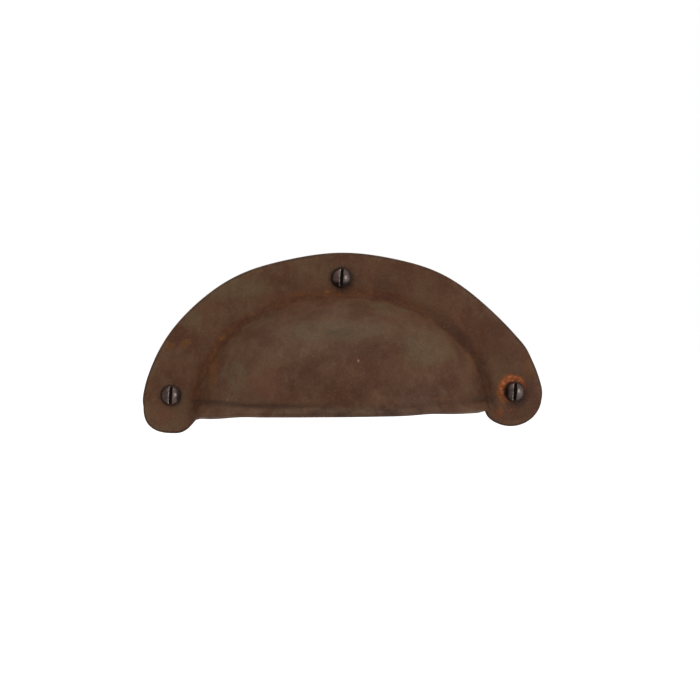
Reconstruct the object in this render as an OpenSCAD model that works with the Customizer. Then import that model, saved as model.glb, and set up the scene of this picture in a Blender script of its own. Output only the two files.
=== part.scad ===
// Cup pull: a half-round drawer pull pressed from one sheet, with a hood over the fingers,
// a flared lip under it and an arched flange that is fixed by three round-head screws.
// X runs to the right along the drawer front, Y into it and Z up. The origin lies on the back
// of the flange, midway between the two lower screws. All sizes are in millimetres.

/* [Flange] */
// overall width across the two ears
pull_w = 102; // [92:0.5:114]
// height of the crown of the arch above the line of the lower screws
crown_h = 35.8; // [33:0.1:42]
// radius of the arc at the crown
crown_r = 64; // [58:0.5:74]
// half of the angle that the crown arc spans before the shoulder arcs take over
crown_angle = 18.5; // [14:0.5:24]
// radius of the rounded ear around each lower screw
ear_r = 8; // [7:0.1:9]
// how far the ears hang below the line of the lower screws
ear_drop = 9.2; // [8.4:0.1:10]
// thickness of the sheet
sheet_t = 1.6; // [1.2:0.1:2]
// width of the broken edge all round the sheet
edge_r = 0.4; // [0.2:0.05:0.5]

/* [Hood] */
// width from the end of an ear to the wall of the hood, measured at the lip crease
side_w = 15; // [13:0.5:18]
// height from the wall of the hood to the crown
top_w = 11.5; // [10.8:0.1:13]
// mean angle between the flange and the wall of the hood
wall_angle = 62; // [58:1:72]
// mean radius of the crease between the hood and the flange
crease_r = 3; // [1.5:0.1:4]
// how far the hood stands out from the back of the flange
hood_out = 22; // [18:0.5:28]
// how far the lip crease lies below the line of the lower screws
lip_drop = 2.7; // [1.8:0.1:3.6]
// height of the flared lip, from its crease to its lower edge
lip_h = 3; // [2.4:0.1:3.6]
// angle that the lip stands outward from the wall of the hood
lip_angle = 40; // [30:1:50]
// radius of the crease between the hood and its lip
lip_crease_r = 1; // [0.5:0.1:1.6]
// radius of the notch between the lip and each ear
notch_r = 2.6; // [1.6:0.1:4]

/* [Screws] */
// distance of each lower screw from the end of its ear
screw_inset = 7; // [6:0.1:8]
// distance of the top screw from the crown
top_inset = 6.2; // [5.6:0.1:7]
// diameter of the plain shank
shank_d = 2.84; // [2.4:0.02:3.2]
// play between the shank and its hole in the flange
hole_play = 0.5; // [0.2:0.05:0.8]
// length from the underside of the head to the point
screw_l = 16; // [13:0.5:25]
// length of the plain shank below the head
shank_l = 5.3; // [4:0.1:7]
// mean diameter of the threaded part
thread_d = 2.4; // [2:0.02:2.44]
// length of the gimlet point
point_l = 3; // [2:0.1:4]
// diameter of the round head
head_d = 5.3; // [4.8:0.1:5.6]
// height of the round head
head_h = 2.1; // [1.8:0.1:2.4]
// height of the short straight rim at the foot of the head
rim_h = 0.25; // [0.1:0.05:0.4]
// width of the driver slot
slot_w = 0.9; // [0.6:0.05:1.1]
// depth of the driver slot
slot_depth = 1.2; // [0.9:0.05:1.4]
// lean of the slots from upright, clockwise as seen from the front
slot_lean = 4.5; // [-90:0.5:90]

/* [Hidden] */
$fn = 64;

// steps along the arch, across the flange, round the crease, up the hood and down the lip,
// the first few of the last kind in the lip's crease
arch_steps = 60;
flange_steps = 9;
crease_steps = 4;
dome_steps = 11;
lip_steps = 6;
bend_steps = 3;

// outline of the sheet in X and Z, drawn in by the broken edge: crown, shoulder and ear arcs
ear = [pull_w / 2 - ear_r, ear_r - ear_drop];
crown = [0, crown_h - crown_r];
crown_dir = [sin(crown_angle), cos(crown_angle)];
crown_ear_r = crown_r - ear_r;
crown_ear_z = crown[1] - ear[1];
shoulder_shift = (pow(crown_ear_r, 2) - pow(ear[0], 2) - pow(crown_ear_z, 2))
    / (2 * (crown_ear_r - crown_dir[0] * ear[0] + crown_dir[1] * crown_ear_z));
shoulder = crown + shoulder_shift * crown_dir;
shoulder_r = crown_r - shoulder_shift;
ear_dir = (ear - shoulder) / norm(ear - shoulder);
crown_in = crown_r - edge_r;
shoulder_in = shoulder_r - edge_r;
ear_in = ear_r - edge_r;

// hood: half width and height of its wall, and a crease that stays clear of the top screw's head
lip_z = -lip_drop;
hood_a = pull_w / 2 - side_w;
hood_b = crown_h - top_w - lip_z;
crease_in = min(crease_r, (top_w - top_inset - head_d / 2) / sin(wall_angle));

// depths of the crease and of the dome on it; the dome is the cap of an ellipsoid, and how far the
// ellipsoid's middle lies behind the cap and how far the cap stands ahead are shares of its depth
crease_out = crease_in * (1 - cos(wall_angle));
dome_out = hood_out - sheet_t - crease_out;
dome_slope = tan(wall_angle) * sqrt(hood_a * hood_b);
cap_limit = 0.48;
cap_share = min(dome_out / dome_slope, cap_limit);
behind = cap_share / sqrt(1 - 2 * cap_share);
ahead = sqrt(1 + behind * behind) - behind;
core = hood_a / 2;

// lip: its front face turns outward in a small arc and runs straight to the broken edge
lip_run = lip_h - sheet_t * sin(lip_angle) - edge_r * cos(lip_angle);
bend_r = min(lip_crease_r, lip_run / sin(lip_angle));
lip_flat = lip_run - bend_r * sin(lip_angle);
lip_out = bend_r * (1 - cos(lip_angle)) + lip_flat * tan(lip_angle);
edge_z = lip_z - lip_run;

// notch: arc between the lip's edge and the ear
notch_in = notch_r + edge_r;
notch_z = edge_z - notch_in;
notch_x = ear[0] - sqrt(pow(ear_in + notch_in, 2) - pow(notch_z - ear[1], 2));
notch_end = ear[0] - (ear[0] - notch_x) * ear_in / (ear_in + notch_in);

// screws: axes in X and Z
screw_x = pull_w / 2 - screw_inset;
screw_at = [[-screw_x, 0], [screw_x, 0], [0, crown_h - top_inset]];
hole_d = shank_d + hole_play;
head_r = head_d / 2;
cap_h = head_h - rim_h;
cap_r = (head_r * head_r + cap_h * cap_h) / (2 * cap_h);
clear = 1;

// number of rows from the outline to the middle of the hood, and of columns below the lip crease
rows = flange_steps + crease_steps + dome_steps;
columns = 2 * rows + arch_steps;
above = (arch_steps + 1) * (rows + 1);
sheet_n = above + (columns - 1) * lip_steps;
ring_n = arch_steps + columns;

function unit(v) = v / norm(v);

// distance from the middle of the lip crease to an arc of the outline, along a direction
function ray(centre, r, dir) =
    let (c = centre - [0, lip_z], along = c * dir)
    along + sqrt(along * along - c * c + r * r);

// point of the outline that is seen in a direction from the middle of the lip crease
function outline(dir) =
    let (
        side = [abs(dir[0]), dir[1]],
        turn = atan2(side[1], side[0]),
        crown_end = crown + crown_in * crown_dir - [0, lip_z],
        ear_end = ear + ear_in * ear_dir - [0, lip_z],
        reach = turn > atan2(crown_end[1], crown_end[0]) ? ray(crown, crown_in, side)
            : turn > atan2(ear_end[1], ear_end[0]) ? ray(shoulder, shoulder_in, side)
            : ray(ear, ear_in, side)
    )
    [0, lip_z] + reach * dir;

// angle of the hood's wall where it leaves the crease: steeper at the crown than at the sides
function wall_at(turn) =
    atan(dome_out / (ahead * behind) * norm([cos(turn) / hood_a, sin(turn) / hood_b]));

// front of the sheet above the lip crease: a point and its normal, in X, Y and Z
function flange_at(turn, part) =
    let (
        wall = wall_at(turn),
        spread = crease_out * sin(wall) / (1 - cos(wall)),
        inner = [(hood_a + spread) * cos(turn), (hood_b + spread) * sin(turn)],
        outer = outline(unit(inner)) - [0, lip_z],
        p = outer + (inner - outer) * (1 - cos(90 * part))
    )
    [[p[0], -sheet_t, lip_z + p[1]], [0, -1, 0]];

function crease_at(turn, part) =
    let (
        wall = wall_at(turn),
        r = crease_out / (1 - cos(wall)),
        angle = wall * part,
        a = hood_a + r * (sin(wall) - sin(angle)),
        b = hood_b + r * (sin(wall) - sin(angle)),
        away = unit([cos(turn) / a, sin(turn) / b]) * sin(angle)
    )
    [
        [a * cos(turn), -sheet_t - r * (1 - cos(angle)), lip_z + b * sin(turn)],
        [away[0], -cos(angle), away[1]]
    ];

function dome_at(turn, part) =
    let (
        even = cos(turn) + (1 - turn / 90 - cos(turn)) * part * part,
        x = (core + (hood_a - core) * cos(90 * part)) * even,
        z = hood_b * cos(90 * part) * sin(turn),
        rise = sqrt(1 + behind * behind - pow(x / hood_a, 2) - pow(z / hood_b, 2)),
        steep = dome_out / (ahead * rise)
    )
    [
        [x, -sheet_t - crease_out - dome_out * (rise - behind) / ahead, lip_z + z],
        unit([steep * x / pow(hood_a, 2), -1, steep * z / pow(hood_b, 2)])
    ];

function front_at(i, j) =
    let (turn = 180 * i / arch_steps, k = j - flange_steps)
    k <= 0 ? flange_at(turn, j / flange_steps)
        : k <= crease_steps ? crease_at(turn, k / crease_steps)
        : dome_at(turn, (k - crease_steps) / dome_steps);

// lower edge of the sheet in the front view
function foot(x) =
    let (side = abs(x))
    side < notch_x ? edge_z
        : side < notch_end ? notch_z + sqrt(pow(notch_in, 2) - pow(side - notch_x, 2))
        : ear[1] - sqrt(max(0, pow(ear_in, 2) - pow(side - ear[0], 2)));

// column and row of the sheet at which a column of the lip starts
function start_of(m) =
    m <= rows ? [0, m]
        : m <= rows + arch_steps ? [m - rows, rows]
        : [arch_steps, columns - m];

// way that a column moves as the lip flares: along the normal on the hood, turning sideways in
// the crease and fading out across the flange
function flare_way(point, normal, row) =
    let (turned = (90 - wall_at(0)) * max(0, row - flange_steps) / crease_steps)
    row > flange_steps + crease_steps ? normal
        : min(1, row / flange_steps) * [sign(point[0]) * cos(turned), -sin(turned), 0];

// profile of the lip: how far it has come down and out at a step, and its slope there
function lip_profile(k) =
    let (
        angle = lip_angle * min(1, k / bend_steps),
        flat = lip_flat * max(0, k - bend_steps) / (lip_steps - bend_steps)
    )
    [bend_r * sin(angle) + flat, bend_r * (1 - cos(angle)) + flat * tan(lip_angle), tan(angle)];

// front of the sheet below the lip crease, drawn out so that its back ends at the foot
function lip_at(m, k) =
    let (
        start = start_of(m),
        top = front_at(start[0], start[1]),
        way = flare_way(top[0], top[1], start[1]),
        low = foot(top[0][0] + lip_out * way[0] - sheet_t * top[1][0]),
        stretch = (lip_z - low) / lip_run,
        bend = lip_profile(k)
    )
    [
        top[0] + bend[1] * way - [0, 0, stretch * bend[0]],
        unit(top[1] + [0, 0, bend[2] / max(stretch, 1) * (way * top[1])])
    ];

// place of a grid point in the list of points; the outermost columns of the lip shrink to a point
function above_id(i, j) = i * (rows + 1) + j;
function below_id(m, k) =
    k == 0 || m == 0 || m == columns ? above_id(start_of(m)[0], start_of(m)[1])
        : above + (m - 1) * lip_steps + k - 1;
function ring_id(n) = n <= arch_steps ? above_id(n, 0) : below_id(columns + arch_steps - n, lip_steps);

// two triangles over four points in turn, leaving out any that has shrunk to a line
function pair(a, b, c, d) =
    [for (f = [[a, b, c], [a, c, d]]) if (f[0] != f[1] && f[1] != f[2] && f[2] != f[0]) f];
function flipped(f) = [f[2], f[1], f[0]];

// the whole sheet: front, back and the broken edge that joins them
module sheet() {
    front = concat(
        [for (i = [0 : arch_steps], j = [0 : rows]) front_at(i, j)],
        [for (m = [1 : columns - 1], k = [1 : lip_steps]) lip_at(m, k)]
    );
    ring = [for (n = [0 : ring_n - 1]) ring_id(n)];
    edge = [
        for (n = [0 : ring_n - 1])
            let (
                at = front[ring[n]],
                after = front[ring[(n + 1) % ring_n]][0],
                before = front[ring[(n + ring_n - 1) % ring_n]][0],
                away = unit(cross(after - before, at[1]))
            )
            [at[0] + edge_r * (away - at[1]), at[0] + edge_r * away - (sheet_t - edge_r) * at[1]]
    ];
    points = concat(
        [for (p = front) p[0]],
        [for (p = front) p[0] - sheet_t * p[1]],
        [for (p = edge) p[0]],
        [for (p = edge) p[1]]
    );
    skin = [
        for (i = [0 : arch_steps - 1], j = [0 : rows - 1])
            each pair(above_id(i, j), above_id(i + 1, j), above_id(i + 1, j + 1), above_id(i, j + 1)),
        for (m = [0 : columns - 1], k = [0 : lip_steps - 1])
            each pair(below_id(m, k), below_id(m + 1, k), below_id(m + 1, k + 1), below_id(m, k + 1))
    ];
    rim = [
        for (n = [0 : ring_n - 1])
            let (
                next = (n + 1) % ring_n,
                a = [ring[n], 2 * sheet_n + n, 2 * sheet_n + ring_n + n, sheet_n + ring[n]],
                b = [ring[next], 2 * sheet_n + next, 2 * sheet_n + ring_n + next, sheet_n + ring[next]]
            )
            for (s = [0 : 2])
                each pair(a[s], b[s], b[s + 1], a[s + 1])
    ];
    faces = concat(
        [for (f = skin) flipped(f)],
        [for (f = skin) f + [sheet_n, sheet_n, sheet_n]],
        rim
    );
    polyhedron(points = points, faces = faces);
}

module cup_shell() {
    color([0.34, 0.24, 0.18])
        difference() {
            sheet();
            for (p = screw_at)
                translate([p[0], clear, p[1]])
                    rotate([90, 0, 0])
                        cylinder(d = hole_d, h = sheet_t + 2 * clear);
        }
}

// one screw along Z, its head up, with the underside of the head at zero
module screw() {
    difference() {
        union() {
            cylinder(d = head_d, h = rim_h);
            rotate_extrude()
                intersection() {
                    translate([0, head_h - cap_r])
                        circle(r = cap_r);
                    translate([0, rim_h])
                        square([head_r, cap_h]);
                }
            translate([0, 0, -shank_l])
                cylinder(d = shank_d, h = shank_l);
            translate([0, 0, point_l - screw_l])
                cylinder(d = thread_d, h = screw_l - point_l - shank_l);
            translate([0, 0, -screw_l])
                cylinder(d1 = 0, d2 = thread_d, h = point_l);
        }
        rotate([0, 0, -slot_lean])
            translate([-slot_w / 2, -head_d, head_h - slot_depth])
                cube([slot_w, 2 * head_d, slot_depth + clear]);
    }
}

module screws() {
    color([0.2, 0.16, 0.15])
        for (p = screw_at)
            translate([p[0], -sheet_t, p[1]])
                rotate([90, 0, 0])
                    screw();
}

cup_shell();
screws();
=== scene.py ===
import math

import bmesh
import bpy
import numpy as np
from mathutils import Matrix, Vector


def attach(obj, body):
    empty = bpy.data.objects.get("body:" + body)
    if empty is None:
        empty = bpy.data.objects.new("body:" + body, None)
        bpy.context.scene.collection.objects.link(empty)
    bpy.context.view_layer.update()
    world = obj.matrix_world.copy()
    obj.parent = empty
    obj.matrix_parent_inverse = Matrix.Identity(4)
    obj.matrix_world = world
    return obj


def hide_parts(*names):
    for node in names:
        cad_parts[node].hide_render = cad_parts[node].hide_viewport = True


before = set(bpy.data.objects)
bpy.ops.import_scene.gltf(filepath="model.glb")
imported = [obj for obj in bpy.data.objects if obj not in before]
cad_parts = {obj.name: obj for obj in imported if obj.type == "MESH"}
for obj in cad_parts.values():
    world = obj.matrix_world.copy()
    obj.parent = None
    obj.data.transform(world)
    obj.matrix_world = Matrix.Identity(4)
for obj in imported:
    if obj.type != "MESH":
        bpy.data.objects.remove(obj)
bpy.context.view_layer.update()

MM = 0.001

# sizes of the pressed sheet, in millimetres
PULL_W = 102.0
CROWN_H = 35.8
CROWN_R = 64.0
CROWN_ANGLE = math.radians(18.5)
EAR_R = 8.0
EAR_DROP = 9.2
SHEET_T = 1.6
EDGE_R = 0.45
SIDE_W = 15.0
TOP_W = 11.5
WALL_ANGLE = math.radians(62)
CREASE_R = 3.0
HOOD_OUT = 22.0
LIP_DROP = 2.7
LIP_H = 3.0
LIP_ANGLE = math.radians(40)
LIP_CREASE_R = 1.0

# sizes of the screws
SCREW_INSET = 7.0
TOP_INSET = 6.2
SHANK_R = 1.42
HOLE_R = 1.67
SCREW_L = 16.0
SHANK_L = 5.3
ROOT_R = 0.98
PITCH = 1.1
POINT_L = 3.0
HEAD_R = 2.65
HEAD_H = 2.1
RIM_H = 0.25
SLOT_W = 0.9
SLOT_DEPTH = 1.2
SLOT_LEAN = math.radians(4.5)

SCREW_X = PULL_W / 2 - SCREW_INSET
SCREWS_AT = np.array([(-SCREW_X, 0.0), (SCREW_X, 0.0), (0.0, CROWN_H - TOP_INSET)])

# arcs of the outline, drawn in by the rounded edge
EAR = np.array([PULL_W / 2 - EAR_R, EAR_R - EAR_DROP])
CROWN = np.array([0.0, CROWN_H - CROWN_R])
CROWN_DIR = np.array([math.sin(CROWN_ANGLE), math.cos(CROWN_ANGLE)])
CROWN_EAR_R = CROWN_R - EAR_R
CROWN_EAR_Z = CROWN[1] - EAR[1]
SHIFT = (CROWN_EAR_R**2 - EAR[0] ** 2 - CROWN_EAR_Z**2) / (
    2 * (CROWN_EAR_R - CROWN_DIR[0] * EAR[0] + CROWN_DIR[1] * CROWN_EAR_Z)
)
SHOULDER = CROWN + SHIFT * CROWN_DIR
SHOULDER_IN = CROWN_R - SHIFT - EDGE_R
CROWN_IN = CROWN_R - EDGE_R
EAR_IN = EAR_R - EDGE_R
EAR_DIR = (EAR - SHOULDER) / np.linalg.norm(EAR - SHOULDER)

# hood and lip
LIP_Z = -LIP_DROP
HOOD_A = PULL_W / 2 - SIDE_W
HOOD_B = CROWN_H - TOP_W - LIP_Z
CREASE_OUT = CREASE_R * (1 - math.cos(WALL_ANGLE))
DOME_OUT = HOOD_OUT - SHEET_T - CREASE_OUT
CAP_SHARE = DOME_OUT / (math.tan(WALL_ANGLE) * math.sqrt(HOOD_A * HOOD_B))
BEHIND = CAP_SHARE / math.sqrt(1 - 2 * CAP_SHARE)
AHEAD = math.sqrt(1 + BEHIND**2) - BEHIND
CORE = HOOD_A / 2
LIP_RUN = LIP_H - SHEET_T * math.sin(LIP_ANGLE) - EDGE_R * math.cos(LIP_ANGLE)
LIP_FLAT = LIP_RUN - LIP_CREASE_R * math.sin(LIP_ANGLE)
LIP_OUT = LIP_CREASE_R * (1 - math.cos(LIP_ANGLE)) + LIP_FLAT * math.tan(LIP_ANGLE)
EDGE_Z = LIP_Z - LIP_RUN

# hand-made strays of the outline: height in millimetres, then place and width as angles seen from
# the middle of the lip
STRAYS = (
    (0.5, 2.55, 0.5),  # left shoulder, a little proud
    (-0.55, 0.62, 0.3),  # right shoulder, flatter
    (0.29, 2.73, 0.19),  # left end
    (-0.13, 3.08, 0.04),
    (0.45, 0.25, 0.17),  # right end
    (0.2, 0.29, 0.05),
    (-0.235, 0.0, 0.05),
)
STRAY_ALL = 0.15
RIPPLE_H = 0.12
RIPPLES = 9

# hand-made lower edge: the feet of the ears, the left lip's sags as depth, start and end, the
# right lip's rises as height, place and width, and how far the notches are rounded
LEFT_FOOT_X = 42.75
LEFT_FOOT_Z = -9.3
LEFT_FOOT_IN = 5.4
LEFT_FOOT_POWER = 2.75
ROUND_POWER = 2.0
RIGHT_FOOT_H = EAR_IN - 0.35
LEFT_SAGS = ((0.9, 22.0, 34.0), (0.7, 35.5, 39.0))
RIGHT_RISES = ((0.35, 36.0, 1.5), (0.4, 22.0, 5.0))
LEFT_NOTCH = 2.0
RIGHT_NOTCH = 0.9

# the lip grows taller toward its ends: height and start on the left and on the right, where the
# growth is full, where it is lost in the ears, and how wide a band of the sheet it moves
TALLER_LEFT = (1.1, 20.0)
TALLER_RIGHT = (0.6, 24.0)
TALLER_FULL = 35.0
TALLER_LOST = (38.5, 41.0)
TALLER_BAND = 1.7

# dents of hand work: depth, seed, count of waves and their length; they fade in from the crease of
# the hood and from the lip's edge
DENTS = ((0.16, 11, 12, 16.0), (0.05, 12, 14, 5.0))
DENT_FROM_CREASE = 2.0
DENT_FROM_EDGE = 7.0
DENT_LEAST = 0.1
WAVE_SPREAD = (0.7, 1.6)
WAVE_PEAK = 1.4

# marks for the finish: past the first height above the lip's crease, the second distance is added
# to its mark, and the rounded edge counts as inside by a share
LIP_NEAR = 6.0
FAR_OFF = 30.0
EDGE_INSIDE = 0.3

# section of a screw's slot: places out from its middle, each with its share of the slot's depth,
# and the place where the head's plain dome starts
SLOT_HALF = SLOT_W / 2
SLOT_ENDS = SLOT_HALF + 0.14
SHARP_SIDE = np.array(
    [
        (0.0, 1.0),
        (SLOT_HALF * 0.5, 1.0),
        (SLOT_HALF - 0.03, 1.0),
        (SLOT_HALF, 0.16),
        (SLOT_HALF + 0.04, 0.05),
        (SLOT_HALF + 0.09, 0.012),
    ]
)
WORN_SIDE = np.array(
    [
        (SLOT_HALF * 0.5, 1.0),
        (SLOT_HALF * 0.56, 0.75),
        (SLOT_HALF - 0.04, 0.12),
        (SLOT_HALF + 0.02, 0.04),
        (SLOT_HALF + 0.09, 0.012),
    ]
)

# marks of a screw's head: the floor of the slot lies above the first share of its depth and the
# worn slope above the second; the slot is left out where it is shallower than the third number,
# and the slope past a share of the head's radius
FLOOR_SHARE = 0.9
SLOPE_SHARE = 0.02
SLOT_LEAST = 0.02
WORN_REACH = 0.8

# a screw's shaft starts inside the head; its thread runs out of the shank and thins to the point
SHAFT_IN = 0.3
THREAD_RUN = 1.2
RIDGE_HALF = 0.3
RIDGE_POWER = 0.8
RIDGE_FADE = 0.5
TIP_SHARE = 0.03
TIP_POWER = 0.8

# fineness of the meshes
ARCH_STEPS = 288
FLANGE_STEPS = 26
CREASE_STEPS = 10
DOME_STEPS = 56
LIP_STEPS = 16
BEND_STEPS = 6
EDGE_STEPS = 4
ROD_SIDES = 64
HEAD_CHORDS = 26
CHORD_POINTS = 57
SHAFT_RINGS = 190
SHAFT_SIDES = 44

# length of the tools that cut the holes, then digits and distance at which points count as one, in
# millimetres, and the angles from which an edge is sharp
ROD_L = 8.0
SAME_DIGITS = 6
TOUCHING = 0.001
SHEET_SHARP = math.radians(55)
SCREW_SHARP = math.radians(40)


def unit(v):
    """Vectors along the last axis, each divided by its own length."""
    return v / np.linalg.norm(v, axis=-1, keepdims=True)


def bump(x, centre, width):
    """A bell curve: e to the minus square of the distance from the centre over the width."""
    return np.exp(-(((x - centre) / width) ** 2))


def hand_lean(angle):
    """How far the hand-made outline strays from the true arch, by the angle seen from the
    middle of the lip: a sum of bell curves, one even stray all round and a small ripple."""
    strays = sum(height * bump(angle, at, width) for height, at, width in STRAYS)
    return strays + STRAY_ALL + RIPPLE_H * np.sin(RIPPLES * angle)


def ray(centre, r, way):
    """Distance from the middle of the lip crease to an arc along a direction: the farther root of
    the quadratic for a ray and a circle."""
    c = centre - np.array([0.0, LIP_Z])
    along = way @ c
    return along + np.sqrt(along**2 - c @ c + r * r)


def outline(way):
    """Point of the sheet's outline in a direction from the middle of the lip crease: the crown,
    shoulder or ear arc, whichever spans that direction, plus the hand-made stray."""
    side = np.stack([np.abs(way[..., 0]), way[..., 1]], -1)
    turn = np.arctan2(side[..., 1], side[..., 0])
    crown_end = CROWN + CROWN_IN * CROWN_DIR - np.array([0.0, LIP_Z])
    ear_end = EAR + EAR_IN * EAR_DIR - np.array([0.0, LIP_Z])
    reach = np.where(
        turn > math.atan2(crown_end[1], crown_end[0]),
        ray(CROWN, CROWN_IN, side),
        np.where(
            turn > math.atan2(ear_end[1], ear_end[0]),
            ray(SHOULDER, SHOULDER_IN, side),
            ray(EAR, EAR_IN, side),
        ),
    )
    stray = hand_lean(np.arctan2(way[..., 1], way[..., 0]))
    return (reach + stray)[..., None] * way


def wall_at(turn):
    """Angle of the hood's wall where it leaves the crease: the slope of the dome at its rim, which
    is steeper at the crown than at the sides."""
    slope = np.hypot(np.cos(turn) / HOOD_A, np.sin(turn) / HOOD_B)
    return np.arctan(DOME_OUT / (AHEAD * BEHIND) * slope)


def flange_part(turn, part):
    """Flat flange: straight lines from the outline to the foot of the crease, at one depth, with
    steps that follow a cosine so that they crowd at the outline."""
    spread = CREASE_OUT / np.tan(wall_at(turn) / 2)
    inner = np.stack([(HOOD_A + spread) * np.cos(turn), (HOOD_B + spread) * np.sin(turn)], -1)
    outer = outline(unit(inner))
    p = outer + (inner - outer) * (1 - np.cos(np.pi / 2 * part))[..., None]
    depth = np.full(p.shape[:-1], SHEET_T)
    point = np.stack([p[..., 0], -depth, LIP_Z + p[..., 1]], -1)
    normal = np.stack([0 * depth, 0 * depth - 1, 0 * depth], -1)
    return point, normal


def crease_part(turn, part):
    """Crease: an arc that turns from the flange up into the wall of the hood, carried round the
    ellipse of the hood's foot; its radius keeps one depth while the wall's angle changes."""
    wall = wall_at(turn)
    r = CREASE_OUT / (1 - np.cos(wall))
    angle = wall * part
    a = HOOD_A + r * (np.sin(wall) - np.sin(angle))
    b = HOOD_B + r * (np.sin(wall) - np.sin(angle))
    away = unit(np.stack([np.cos(turn) / a, np.sin(turn) / b], -1)) * np.sin(angle)[..., None]
    depth = SHEET_T + r * (1 - np.cos(angle))
    point = np.stack([a * np.cos(turn), -depth, LIP_Z + b * np.sin(turn)], -1)
    return point, np.stack([away[..., 0], -np.cos(angle), away[..., 1]], -1)


def dome_part(turn, part):
    """Hood: half ellipses that shrink from the wall to a short line at the lip crease, each point
    set out to the depth of a cap of one ellipsoid; the normal is that depth's slope."""
    even = np.cos(turn) + (1 - turn / (np.pi / 2) - np.cos(turn)) * part**2
    x = (CORE + (HOOD_A - CORE) * np.cos(np.pi / 2 * part)) * even
    z = HOOD_B * np.cos(np.pi / 2 * part) * np.sin(turn)
    rise = np.sqrt(1 + BEHIND**2 - (x / HOOD_A) ** 2 - (z / HOOD_B) ** 2)
    steep = DOME_OUT / (AHEAD * rise)
    depth = SHEET_T + CREASE_OUT + DOME_OUT * (rise - BEHIND) / AHEAD
    point = np.stack([x, -depth, LIP_Z + z], -1)
    return point, unit(np.stack([steep * x / HOOD_A**2, 0 * x - 1, steep * z / HOOD_B**2], -1))


def soft_step(x, low, high):
    """Zero below low, one above high and an S-curve between them."""
    t = np.clip((x - low) / (high - low), 0, 1)
    return t * t * (3 - 2 * t)


def soft_min(a, b, k):
    """The lower of two heights, with the corner between them rounded over the height k."""
    share = np.clip(0.5 + 0.5 * (b - a) / k, 0, 1)
    return b + (a - b) * share - k * share * (1 - share)


def ear_foot(side, x, low, outer, inner):
    """Lower half of an ear: a curve that rises from its lowest point on either side of x, each side
    a quarter of an oval with its own reach, height and power; a power above two is squarer."""
    reach, height, power = (np.where(side > x, o, i) for o, i in zip(outer, inner))
    away = np.clip(np.abs(side - x) / reach, 0, 1)
    return low + height * (1 - (1 - away**power) ** (1 / power))


def foot(x):
    """Lower edge of the sheet in the front view: the lip's straight edge runs into the lower half
    of each ear; the left ear hangs lower and squarer, and its notch is wider than the right one."""
    side = np.abs(x)
    end = -outline(np.array([-1.0, 0.0]))[0]
    outer = (end - LEFT_FOOT_X, LIP_Z - LEFT_FOOT_Z, LEFT_FOOT_POWER)
    inner = (LEFT_FOOT_IN, EAR_IN, ROUND_POWER)
    left = ear_foot(side, LEFT_FOOT_X, LEFT_FOOT_Z, outer, inner)
    even = (EAR_IN, RIGHT_FOOT_H, ROUND_POWER)
    right = ear_foot(side, EAR[0], EAR[1] - RIGHT_FOOT_H, even, even)
    left_lip = EDGE_Z - sum(depth * soft_step(side, *reach) for depth, *reach in LEFT_SAGS)
    right_lip = EDGE_Z + sum(height * bump(side, *at) for height, *at in RIGHT_RISES)
    left = np.where(side < LEFT_FOOT_X, soft_min(left_lip, left, LEFT_NOTCH), left)
    right = np.where(side < EAR[0], soft_min(right_lip, right, RIGHT_NOTCH), right)
    return np.minimum(np.where(x < 0, left, right), LIP_Z)


def lip_profile():
    """How far the lip has come down and out at each step, and its slope there: a small arc that
    turns outward by the lip's angle, then a straight run."""
    step = np.arange(1, LIP_STEPS + 1)
    angle = LIP_ANGLE * np.minimum(1, step / BEND_STEPS)
    flat = LIP_FLAT * np.maximum(0, step - BEND_STEPS) / (LIP_STEPS - BEND_STEPS)
    down = LIP_CREASE_R * np.sin(angle) + flat
    out = LIP_CREASE_R * (1 - np.cos(angle)) + flat * math.tan(LIP_ANGLE)
    return down, out, np.tan(angle)


def lip_part(top, normal, row):
    """Sheet below the lip crease: each point of the crease line runs down the lip's profile, drawn
    out so that the back ends at the foot of the sheet, while the hood's points also move outward
    along their normals and the flange stays flat."""
    on_hood = (row > FLANGE_STEPS + CREASE_STEPS)[:, None]
    turned = (np.pi / 2 - wall_at(0.0)) * np.clip((row - FLANGE_STEPS) / CREASE_STEPS, 0, 1)
    sideways = np.stack([np.sign(top[:, 0]) * np.cos(turned), -np.sin(turned), 0 * turned], -1)
    share = 1 - np.cos(np.pi / 2 * np.minimum(1, row / FLANGE_STEPS))
    way = np.where(on_hood, normal, share[:, None] * sideways)
    low = foot(top[:, 0] + LIP_OUT * way[:, 0] - SHEET_T * normal[:, 0])
    stretch = ((LIP_Z - low) / LIP_RUN)[:, None]
    down, out, slope = lip_profile()
    up = np.array([0.0, 0.0, 1.0])
    point = top[:, None] + out[None, :, None] * way[:, None] - (stretch * down)[..., None] * up
    lift = slope / np.maximum(stretch, 1) * (way * normal).sum(-1)[:, None]
    return point, unit(normal[:, None] + lift[..., None] * up)


def quads(ids):
    """Faces of a grid of point numbers: each cell's four corners in turn."""
    return np.stack([ids[:-1, :-1], ids[1:, :-1], ids[1:, 1:], ids[:-1, 1:]], -1).reshape(-1, 4)


def soft_waves(p, seed, count, length):
    """Slow unevenness: a sum of sine waves with random directions, phases and lengths near the
    given one, scaled to stay within about one."""
    rng = np.random.default_rng(seed)
    ways = unit(rng.normal(size=(count, 3)))
    ways = ways * (2 * np.pi / (length * rng.uniform(*WAVE_SPREAD, (count, 1))))
    waves = np.sin(p @ ways.T + rng.uniform(0, 2 * np.pi, count))
    return waves.sum(-1) / math.sqrt(count) / WAVE_PEAK


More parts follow.
